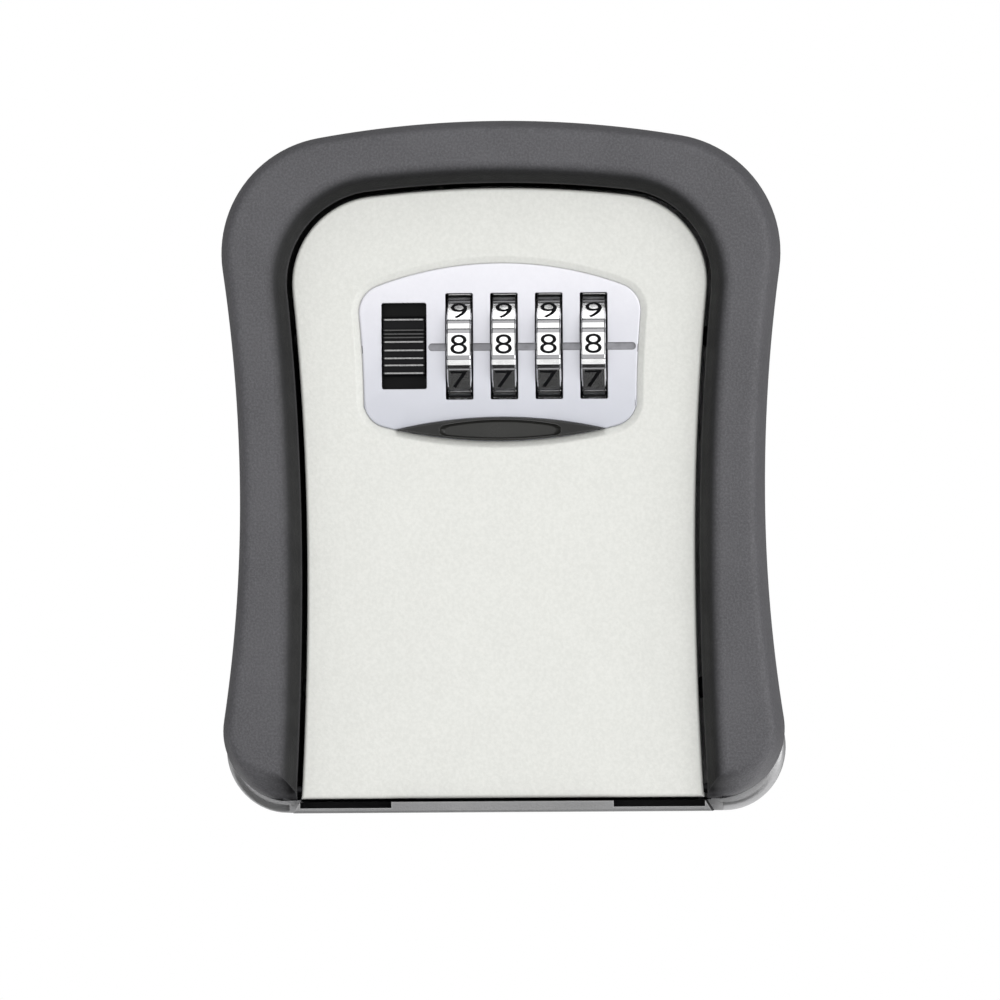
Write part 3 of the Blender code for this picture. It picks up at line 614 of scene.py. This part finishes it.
def surround_ring(outer_step, inner_step):
    """One closed ring round the arch as (x, y, z, painted shade): outer side, foot, inner side."""
    outer_in, foot_in, outer_y = outer_step
    inner_out, inner_y, dark = inner_step
    full = half_outline(SURROUND)
    outer = [(x, outer_y, z, 0.0) for x, z in moved(full[:FOOT_START], -outer_in)]
    inner_x = door_edge(-54.0) + inner_out
    start = full[FOOT_START]
    cx, cz = start[0] - start[2] * FOOT_COVER_R, start[1] - start[3] * FOOT_COVER_R
    begin = math.atan2(start[3], start[2])
    wide, tall = FOOT_COVER_R - outer_in, FOOT_COVER_R - foot_in
    end = -math.acos(min(max((inner_x - cx) / wide, 0.0), 1.0))
    count = 8 * DETAIL
    for i in range(count + 1):
        a = begin + (end - begin) * i / count
        turn = max(2 * i / count - 1, 0)
        depth = outer_y + (inner_y - outer_y) * turn
        outer.append((cx + wide * math.cos(a), depth, cz + tall * math.sin(a), dark * turn**3))
    floor = outer[-1][2]
    outer.append((inner_x, inner_y, floor, dark))
    door = half_outline(DOOR)
    inner = [(x, inner_y, z, dark) for x, z in moved(door[:WAIST_START], inner_out)]
    steps = 6 * DETAIL
    for i in range(1, steps):
        z = DOOR_WAIST_Z + (floor - DOOR_WAIST_Z) * i / steps
        inner.append((door_edge(z) + inner_out, inner_y, z, dark))
    right = outer + inner[::-1]
    left = [(-x, y, z, d) for x, y, z, d in reversed(right)]
    return right + left[1:-1]


def build_surround(look):
    rings = [surround_ring(*steps) for steps in zip(OUTER_SIDE, INNER_SIDE)]
    body = marked_skin("slope_painted_shade", [[((x, y, z), dark) for x, y, z, dark in ring] for ring in rings])
    arch = new_object("surround_shell", body)
    return finish_piece(arch, look, "case", ["surround"])


# ---------------------------------------------------------------- door


def build_door(look):
    half = half_outline(DOOR)
    rings = [
        outline_ring(half, -2.0, -3.6, -33.2),
        outline_ring(half, -1.7, -3.4, -32.9),
        outline_ring(half, -1.5, -3.2, -30.5),
        outline_ring(half, 0.0, 0.0, -30.5),
        outline_ring(half, 0.0, 0.0, -34.4),
        outline_ring(half, -0.06, -0.06, -34.68),
        outline_ring(half, -0.2, -0.2, -34.87),
        outline_ring(half, -0.4, -0.4, -34.97),
        outline_ring(half, -0.6, -0.6, -35.0),
    ]
    door = new_object("door_panel", loft(rings))
    panel = half_outline(PANEL)
    window = [
        outline_ring(panel, 1.95, None, -35.6),
        outline_ring(panel, 1.55, None, -35.0),
        outline_ring(panel, 1.32, None, -34.97),
        outline_ring(panel, 1.14, None, -34.88),
        outline_ring(panel, 0.4, None, -34.28),
        outline_ring(panel, 0.14, None, -34.0),
        outline_ring(panel, 0.14, None, -32.0),
    ]
    cut(door, loft(window))
    for side in (1, -1):
        x, z = side * HOUSING_SCREW_X, HOUSING_SCREW_Z
        join(door, turned([(-33.6, 2.2), (-30.3, 2.2)], "Y", x, z))
        cut(door, turned([(-33.9, BORE_R), (-29.5, BORE_R)], "Y", x, z))
        start, end = sorted((side * 29.5, side * 36.5))
        cut(door, prism(circle(HINGE_Y, HINGE_Z, BORE_R), "X", start, end))
    return finish_piece(door, look, "door", ["door_shell"])


def pull_outline(out, count=48):
    """Lens between two shallow arcs, tip to tip."""
    tip, low, high = PULL_TIP + out * 2.2, 4.3 - out, 8.25 + out
    middle = (low + high) / 2
    points = []
    for sign, peak in ((1, high), (-1, low)):
        for i in range(count):
            x = -sign * tip + 2 * sign * tip * i / count
            points.append((x, middle + (peak - middle) * (1 - (x / tip) ** 2)))
    return points


def soft_cutter(x0, x1, z0, z1, radius, front, back, ease, steps=6):
    """Cutter for a window whose front edge is slightly rounded."""
    rings = []
    for out, y in ((ease, front - 1.0), (ease, front), (ease * 0.35, front + ease * 0.3),
                   (0.0, front + ease), (0.0, back)):
        shape = rounded(x0 - out, x1 + out, z0 - out, z1 + out, radius + out, steps)
        rings.append(level(shape, y))
    return loft(rings)


def build_bezel(looks):
    """Dial panel with a groove in its own look, and walls inside the windows painted near black as
    painted shade.
    """
    half = half_outline(PANEL)
    rings = [
        outline_ring(half, 1.6, None, -31.9),
        outline_ring(half, 1.6, None, -32.9),
        outline_ring(half, 0.12, None, -32.9),
        outline_ring(half, 0.12, None, -34.25),
        outline_ring(half, 0.08, None, -34.33),
        outline_ring(half, -0.02, None, -34.38),
        outline_ring(half, -0.2, None, PANEL_FRONT),
    ]
    bezel = new_object("dial_panel", loft(rings))
    through = (PANEL_FRONT, PANEL_BACK, PANEL_EASE)
    for i in range(4):
        x = DIAL_FIRST_X + DIAL_PITCH * i
        cut(bezel, soft_cutter(x - WINDOW_HALF, x + WINDOW_HALF, *WINDOW_Z, 0.25, *through))
    cut(bezel, soft_cutter(SLIDER_X - SLOT_HALF, SLIDER_X + SLOT_HALF, *SLOT_Z, 0.3, *through))
    groove_z = (DIAL_Z - GROOVE_HALF, DIAL_Z + GROOVE_HALF)
    cut(bezel, soft_cutter(*GROOVE_X, *groove_z, 0.59, PANEL_FRONT, -33.95, 0.12, 10))
    pocket = rounded(-10.2, 21.6, DIAL_Z - 10.0, DIAL_Z + 9.6, 1.0, 4)
    cut(bezel, prism(pocket, "Y", -33.1, PANEL_BACK))
    seat = [(x, z - 2.5) if z < 6.2 else (x, z) for x, z in pull_outline(0.12)]
    cut(bezel, prism(seat, "Y", -35.0, -33.15))
    finish_piece(bezel, looks, "door", ["dial_bezel"])
    for face in bezel.data.polygons:
        x, y, z = (value / MM for value in face.center)
        if -34.36 < y < -33.9 and abs(z - DIAL_Z) < 0.75:
            face.material_index = 1
        # walls inside the windows painted near black: painted shade, which also darkens the wheels'
        # reflections
        elif -34.2 < y < -31.95 and abs(x) < 22.6 and 11.0 < z < 29.8:
            face.material_index = 2
        else:
            face.material_index = 0
    return bezel


def scoop_outline(y, less, count=36):
    """The hollow of the pull: arcs above and below, cut off nearly square at both ends."""
    half = SCOOP_HALF - less
    top, bottom = [], []
    for i in range(count + 1):
        x = half * math.cos(math.pi * i / count)
        end = 0.4 * max(abs(x / half) * 12 - 11, 0.0) ** 2
        top.append((x, y, 7.78 - 1.0 * (x / SCOOP_HALF) ** 2 - less * 0.45 - end))
        bottom.append((-x, y, 4.62 + 0.62 * (x / SCOOP_HALF) ** 2 + less * 0.3 + end))
    return top + bottom


def build_pull(looks):
    rings = [
        level(pull_outline(out), y)
        for out, y in ((0.0, -33.3), (0.0, -34.9), (-0.05, -35.12), (-0.14, -35.26), (-0.3, -35.35))
    ]
    pull = new_object("finger_lip", loft(rings))

    steps = (
        (-35.9, -0.25), (-35.4, -0.22), (-35.3, -0.1), (-35.15, 0.0), (-34.85, 0.18),
        (-34.65, 0.4), (-34.54, 0.62), (-34.5, 0.8),
    )
    cut(pull, loft([scoop_outline(*step) for step in steps]))
    finish_piece(pull, looks, "door", ["finger_pull"])
    for face in pull.data.polygons:
        hollow = face.center.y > -35.25 * MM and face.normal.y < -0.3
        face.material_index = 1 if hollow else 0
        face.use_smooth = not (hollow and face.normal.y < -0.99)
    return pull


def build_slider(looks):
    """Ribbed button on its backing plate; the crests of the ribs carry painted highlights."""
    profile = [(-31.2, 12.6), (-31.6, 12.6), (-31.6, 15.4), (-34.1, 15.45), (-34.25, 15.55)]
    for z in reversed(RIBS_Z):
        profile += [
            (-34.6, z - 0.24), (-35.05, z - 0.15), (-35.15, z - 0.07),
            (-35.15, z + 0.07), (-35.05, z + 0.15), (-34.6, z + 0.24),
        ]
    profile += [(-34.25, 25.42), (-34.1, 25.55), (-31.6, 25.7), (-31.6, 30.1), (-31.2, 30.1)]
    slider = new_object("slider_button", prism(profile, "X", SLIDER_X - 3.5, SLIDER_X + 3.5))
    wings = rounded(SLIDER_X - 4.9, SLIDER_X + 4.9, 12.5, 30.2, 0.6, 3)
    join(slider, prism(wings, "Y", -31.55, -30.7))
    stem = rounded(-19.0, -14.7, 17.0, 23.0, 0.5, 3)
    join(slider, prism(stem, "Y", -31.0, -16.6))
    finish_piece(slider, looks, "latch", ["open_slider"], weighted=False)
    for face in slider.data.polygons:
        # the crest faces take the rib look with its painted highlights
        face.material_index = 1 if face.center.y < -35.1 * MM else 0
    return slider


# ---------------------------------------------------------------- dials

# (degrees from the middle of a face, radius, how deep in a groove)
WHEEL_PROFILE = (
    (-24.8, 9.8, 1.0), (-21.3, 9.8, 1.0), (-20.8, 10.15, 0.0), (-15.7, 10.15, 0.0),
    (-15.2, 9.8, 1.0), (-11.2, 9.8, 1.0), (-10.7, 10.177, 0.0), (10.7, 10.177, 0.0),
)
# (distance from the middle of the wheel, how much smaller) from side to side
WHEEL_STEPS = ((-2.1, 0.35), (-2.0, 0.12), (-1.85, 0.0), (1.85, 0.0), (2.0, 0.12), (2.1, 0.35))


def build_wheel(index, look):
    x = DIAL_FIRST_X + DIAL_PITCH * (index - 1)
    rings = []
    for at, less in WHEEL_STEPS:
        ring = []
        for i in range(10):
            for turn, radius, low in WHEEL_PROFILE:
                a = math.pi + math.radians(36 * i + turn - WHEEL_LIFT)
                r = radius - less
                point = (x + at, DIAL_Y + r * math.cos(a), DIAL_Z + r * math.sin(a))
                ring.append((point, low))
        rings.append(ring)
    wheel = new_object(f"dial_wheel_{index}", marked_skin("groove", rings))
    cut(wheel, turned([(x - 4.0, 3.5), (x + 4.0, 3.5)], "X", DIAL_Y, DIAL_Z, 40))
    return finish_piece(
        wheel, look, f"dial_{index}", [f"number_wheel_{index}"], 12.0, False
    )


def digit_mesh(digit):
    """One number as a thin closed solid, centred on the origin in x and z, its front at -Y."""
    curve = bpy.data.curves.new("digit", "FONT")
    curve.body = str(digit)
    curve.size = 1.0
    curve.extrude = 0.02
    curve.offset = -0.002
    curve.resolution_u = 5
    holder = bpy.data.objects.new("digit", curve)
    bpy.context.scene.collection.objects.link(holder)
    graph = bpy.context.evaluated_depsgraph_get()
    graph.update()
    mesh = bpy.data.meshes.new_from_object(holder.evaluated_get(graph))
    bpy.data.objects.remove(holder, do_unlink=True)
    body = bmesh.new()
    body.from_mesh(mesh)
    bpy.data.meshes.remove(mesh)
    bmesh.ops.remove_doubles(body, verts=body.verts, dist=1e-5)
    xs = [v.co.x for v in body.verts]
    ys = [v.co.y for v in body.verts]
    zs = [v.co.z for v in body.verts]
    tall = max(ys) - min(ys)
    scale = DIGIT_TALL / tall
    for vert in body.verts:
        u = (vert.co.x - (max(xs) + min(xs)) / 2) * scale * DIGIT_WIDER
        v = (vert.co.y - (max(ys) + min(ys)) / 2) * scale
        front = 1 if vert.co.z > (max(zs) + min(zs)) / 2 else 0
        vert.co = Vector((u, -0.03 if front else 0.08, v))
    return body


def build_digits(look):
    shapes = [digit_mesh(d) for d in range(10)]
    for index in range(1, 5):
        x = DIAL_FIRST_X + DIAL_PITCH * (index - 1)
        body = bmesh.new()
        for digit in range(10):
            a = math.radians(36 * (digit - 8) + WHEEL_LIFT)
            turn = Matrix.Rotation(-a, 4, "X")
            shift = Matrix.Translation((x, DIAL_Y, DIAL_Z)) @ turn
            shift = shift @ Matrix.Translation((0, -FACE_R, 0))
            copy = shapes[digit].copy()
            for vert in copy.verts:
                vert.co = (shift @ vert.co) * MM
            part = bpy.data.meshes.new("part")
            copy.to_mesh(part)
            copy.free()
            body.from_mesh(part)
            bpy.data.meshes.remove(part)
        digits = new_object(f"dial_numbers_{index}", body)
        finish_piece(digits, look, f"dial_{index}", [], 30.0, False)
    for shape in shapes:
        shape.free()


# ---------------------------------------------------------------- screws and inner pieces


def screw_piece(node, axis, sign, body, look):
    """Pan head screw with a cross recess, over its CAD node; sign points from head to tip."""
    low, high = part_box(node)
    low, high = low / MM, high / MM
    i = "XYZ".index(axis)
    u, v = [k for k in range(3) if k != i]
    cu, cv = (low[u] + high[u]) / 2, (low[v] + high[v]) / 2
    head_r = (high[u] - low[u]) / 2 * 1.02
    top, tip = (low[i], high[i]) if sign > 0 else (high[i], low[i])
    head_h = 1.1 if head_r > 1.75 else 1.0
    shank = head_r * 0.43
    under = top + sign * head_h
    profile = [
        (top, head_r * 0.45), (top + sign * 0.08, head_r * 0.68),
        (top + sign * 0.25, head_r * 0.86), (top + sign * 0.5, head_r * 0.97),
        (top + sign * 0.75, head_r), (under, head_r), (under, shank),
    ]
    turns = int(abs(tip - under) / 0.7)
    for k in range(turns):
        at = under + (tip - under) * (k + 0.5) / (turns + 0.5)
        size = shank * (1.0 if k < turns - 2 else 0.85)
        profile += [(at - 0.12 * sign, size * 0.82), (at + 0.12 * sign, size)]
    profile.append((tip, shank * 0.5))
    made = new_object(node + "_piece", turned(profile, axis, cu, cv, 28))
    for wide, tall in ((head_r * 0.58, 0.2), (0.2, head_r * 0.58)):
        rings = []
        for down, taper in ((-0.5, 1.0), (0.05, 1.0), (0.7, 0.5)):
            corners = ((wide, tall), (-wide, tall), (-wide, -tall), (wide, -tall))
            ring = []
            for a, b in corners:
                p = [0.0, 0.0, 0.0]
                p[i] = top + sign * down
                p[u] = cu + a * (taper if wide > tall else 1.0)
                p[v] = cv + b * (taper if tall > wide else 1.0)
                ring.append(tuple(p))
            rings.append(ring)
        cut(made, loft(rings))
    return finish_piece(made, look, body, [node], 28.0, False)


def softened(node, body, look, width=0.00018, angle=35.0):
    """The CAD node's own shape with its hard edges slightly rounded."""
    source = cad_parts[node]
    body_mesh = bmesh.new()
    body_mesh.from_mesh(source.data)
    bmesh.ops.remove_doubles(body_mesh, verts=body_mesh.verts, dist=2e-6)
    bmesh.ops.dissolve_limit(
        body_mesh, angle_limit=math.radians(1.0), verts=body_mesh.verts, edges=body_mesh.edges
    )
    made = new_object(node + "_piece", body_mesh)
    step = made.modifiers.new("edge", "BEVEL")
    step.width = width
    step.segments = 2
    step.limit_method = "ANGLE"
    step.angle_limit = math.radians(angle)
    step.use_clamp_overlap = True
    return finish_piece(made, look, body, [node], 40.0)


def coil(turns, radius, wire, start, end, place, steps=28, sides=12):
    """A round wire wound into a coil from start to end."""
    rings = []
    rise = (end - start) / (2 * math.pi * turns)
    for i in range(turns * steps + 1):
        a = 2 * math.pi * i / steps
        out = Vector((math.cos(a), math.sin(a), 0))
        along = Vector((-radius * math.sin(a), radius * math.cos(a), rise)).normalized()
        up = along.cross(out)
        centre = out * radius + Vector((0, 0, start + rise * a))
        turn = [2 * math.pi * k / sides for k in range(sides)]
        ring = [centre + out * (wire * math.cos(t)) + up * (wire * math.sin(t)) for t in turn]
        rings.append([place(*p) for p in ring])
    return loft(rings)


def build_springs(look):
    """The latch spring is a coil fixed to the door; the reset spring rides the shaft."""
    upright = coil(4, 1.8, 0.33, 7.0, 16.4, lambda u, v, t: (u - 16.8, v - 24.0, t))
    latch = new_object("latch_coil", upright)
    finish_piece(latch, look, "door", ["latch_spring"], 60.0, False)
    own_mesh(latch)
    lying = coil(2, 2.15, 0.28, 19.8, 21.2, lambda u, v, t: (t, DIAL_Y + u, DIAL_Z + v))
    reset = new_object("reset_coil", lying)
    finish_piece(reset, look, "carriage", ["reset_spring"], 60.0, False)


def recoat(node, look):
    """The CAD node keeps its mesh and takes a detailed material."""
    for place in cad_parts[node].material_slots:
        place.material = look


def main():
    silver = painted("case_silver", (0.42, 0.42, 0.425), 0.38, 0.2, 0.00035, metallic=0.75)
    # darker copy of the case silver for the neck's front faces: painted shade
    neck = painted(
        "case_neck_painted_shade", (0.25, 0.25, 0.252), 0.48, 0.3, 0.00035, 0.07, ((0.4, 0.4, 0.4), 0.0004), 0.4
    )
    # near-black coat inside the box and the dial windows, also painted shade in the gaps round the
    # door and the dials
    inner = painted("inside_coat_painted_shade", (0.02, 0.02, 0.021), 0.55, 0.3, 0.0004, 0.15, specular=0.2)
    grey = surround_look()
    white = painted(
        "door_white", (0.675, 0.68, 0.645), 0.42, 0.12, 0.0006, 0.012, ((0.95, 0.95, 0.94), 0.0003)
    )
    satin = panel_look()
    line = metal("panel_line", (0.3, 0.3, 0.32), 0.45, (1.0, 1.0, 1.0), 0.15)
    dark = painted(
        "pull_dark", (0.013, 0.013, 0.012), 0.34, 0.1, 0.0003, 0.1, ((0.1, 0.1, 0.1), 0.0003),
        specular=0.3,
    )
    # the hollow of the pull takes a lighter copy of the dark plastic
    worn = painted("pull_hollow_lighter", (0.02, 0.02, 0.018), 0.3, 0.1, 0.0003, 0.12, specular=0.35)
    black = painted("slider_black", (0.005, 0.005, 0.006), 0.35, 0.1, 0.0003, 0.2, specular=0.12)
    rib = rib_look()
    bright = wheel_look()
    ink = painted("number_black", (0.004, 0.004, 0.005), 0.6, 0.2, 0.0002, 0.3, specular=0.1)
    steel = metal(
        "steel", (0.5, 0.5, 0.51), 0.3, (1.0, 1.0, 0.1), 0.25, 0.08, ((0.75, 0.75, 0.75), 0.0002)
    )
    blued = metal("blackened_steel", (0.03, 0.03, 0.032), 0.5, (1.0, 1.0, 1.0), 0.2, 0.15)
    sleeve = metal("sleeve_steel", (0.16, 0.16, 0.17), 0.34, (0.1, 1.0, 1.0), 0.2, 0.12)
    spring = metal("spring_steel", (0.42, 0.43, 0.45), 0.25, (1.0, 0.3, 1.0), 0.15)
    plate = metal(
        "screw_steel", (0.55, 0.55, 0.53), 0.32, (1.0, 1.0, 1.0), 0.2, 0.1,
        ((0.8, 0.8, 0.78), 0.00015),
    )
    moulded = painted(
        "housing_black", (0.018, 0.018, 0.02), 0.45, 0.25, 0.00035, 0.15,
        ((0.07, 0.07, 0.075), 0.0003),
    )
    lever = painted(
        "lever_grey", (0.22, 0.22, 0.23), 0.4, 0.2, 0.0003, 0.08, ((0.4, 0.4, 0.4), 0.0003)
    )

    build_case([silver, inner, neck])
    build_surround(grey)
    build_door(white)
    build_bezel([satin, line, inner])
    build_pull([dark, worn])
    build_slider([black, rib])
    for index in range(1, 5):
        build_wheel(index, bright)
    build_digits(ink)

    for i, (side, z) in enumerate(SURROUND_SCREWS, 1):
        screw_piece(f"surround_screw_{i}", "X", side, "case", blued)
    for word in ("right", "left"):
        screw_piece(f"strike_screw_{word}", "Z", 1, "case", plate)
        screw_piece(f"housing_screw_{word}", "Y", -1, "door", plate)
    for i in range(1, 5):
        screw_piece(f"cover_screw_{i}", "Y", -1, "door", plate)
    softened("lock_housing", "door", moulded)
    softened("back_cover", "door", moulded)
    softened("reset_lever", "reset", lever)
    softened("strike_plate", "case", blued, 0.00012)
    softened("latch_plate", "latch", steel, 0.00012)
    for node in ("hinge_pin_right", "hinge_pin_left"):
        recoat(node, blued)
    recoat("dial_shaft", steel)
    recoat("detent_spring", spring)
    build_springs(spring)
    for i in range(1, 5):
        recoat(f"lock_sleeve_{i}", sleeve)


# ---------------------------------------------------------------- floor, light and camera


def area(name, place, target, size, power):
    lamp = bpy.data.lights.new(name, "AREA")
    lamp.shape = "RECTANGLE"
    lamp.size, lamp.size_y = size
    lamp.energy = power
    made = bpy.data.objects.new(name, lamp)
    made.location = place
    made.rotation_euler = (Vector(target) - Vector(place)).to_track_quat("-Z", "Y").to_euler()
    bpy.context.scene.collection.objects.link(made)


def flat_sheet(name, x0, x1, y0, y1, z):
    body = bmesh.new()
    corners = ((x0, y0, z), (x1, y0, z), (x1, y1, z), (x0, y1, z))
    body.faces.new([body.verts.new(p) for p in corners])
    return new_object(name, body)


def build_floor():
    """Pale studio floor, and two low black cards that only show in reflections."""
    floor = flat_sheet("studio_floor", -2.5, 2.5, -2.5, 0.3, -0.13)
    t = Tree("studio_white")
    base = t.blend(t.spread(t.noise(6.0), 0.0, 1.0), (0.5, 0.5, 0.5), (0.53, 0.53, 0.53))
    t.join(base, t.shader.inputs["Base Color"])
    t.shader.inputs["Roughness"].default_value = 0.9
    t.shader.inputs["Specular IOR Level"].default_value = 0.1
    t.shader.inputs["Emission Color"].default_value = (1, 1, 1, 1)
    t.shader.inputs["Emission Strength"].default_value = 0.75
    floor.data.materials.append(t.look)
    front_card = flat_sheet("studio_card", -0.3, 0.12, -0.25, -0.042, -0.115)
    left_card = flat_sheet("studio_card_left", -0.3, -0.01, -0.042, 0.05, -0.115)
    t = Tree("card_black")
    t.shader.inputs["Base Color"].default_value = (0.004, 0.004, 0.004, 1)
    t.shader.inputs["Roughness"].default_value = 0.9
    t.shader.inputs["Specular IOR Level"].default_value = 0.0
    for card in (front_card, left_card):
        card.data.materials.append(t.look)
        card.visible_camera = False
        card.visible_diffuse = False
        card.visible_shadow = False


def build_light():
    world = bpy.data.worlds.new("studio")
    bpy.context.scene.world = world
    world.use_nodes = True
    tree = world.node_tree
    light = tree.nodes["Background"]
    light.inputs["Color"].default_value = (1.0, 1.0, 1.0, 1.0)
    light.inputs["Strength"].default_value = 0.24
    paper = tree.nodes.new("ShaderNodeBackground")
    paper.inputs["Color"].default_value = (1.0, 1.0, 1.0, 1.0)
    paper.inputs["Strength"].default_value = 1.0
    path = tree.nodes.new("ShaderNodeLightPath")
    both = tree.nodes.new("ShaderNodeMixShader")
    tree.links.new(path.outputs["Is Camera Ray"], both.inputs["Fac"])
    tree.links.new(light.outputs["Background"], both.inputs[1])
    tree.links.new(paper.outputs["Background"], both.inputs[2])
    tree.links.new(both.outputs["Shader"], tree.nodes["World Output"].inputs["Surface"])
    area("front", (0.3, -3.2, 0.25), (0, 0, 0), (3.0, 3.0), 36.0)
    area("upper", (0.2, -2.0, 1.8), (0, 0, 0), (1.4, 1.2), 6.0)
    area("key", (0.9, -1.0, 0.35), (0, 0, 0), (0.7, 0.9), 5.0)
    area("top", (-0.1, -0.5, 1.5), (0, 0, 0), (1.2, 0.8), 7.0)
    area("low_right", (0.5, -0.12, -0.06), (0.03, -0.02, -0.055), (0.25, 0.1), 0.35)


def build_camera():
    azimuth, elevation, roll = math.radians(2.2), math.radians(-1.0), math.radians(0.37)
    distance, width = 2.4, 0.1709
    target = Vector((0.0, -0.035, 0.0))
    back = Vector((
        math.sin(azimuth) * math.cos(elevation),
        -math.cos(azimuth) * math.cos(elevation),
        math.sin(elevation),
    ))
    data = bpy.data.cameras.new("camera")
    data.sensor_width = 36.0
    data.lens = 36.0 * distance / width
    data.clip_start, data.clip_end = 0.05, 20.0
    data.shift_x, data.shift_y = -0.0005, -0.0345
    camera = bpy.data.objects.new("camera", data)
    camera.location = target + back * distance
    turn = (-back).to_track_quat("-Z", "Y").to_matrix() @ Matrix.Rotation(-roll, 3, "Z")
    camera.rotation_euler = turn.to_euler()
    bpy.context.scene.collection.objects.link(camera)
    bpy.context.scene.camera = camera


main()
build_floor()
build_light()
build_camera()
bpy.context.scene.view_settings.view_transform = "Standard"
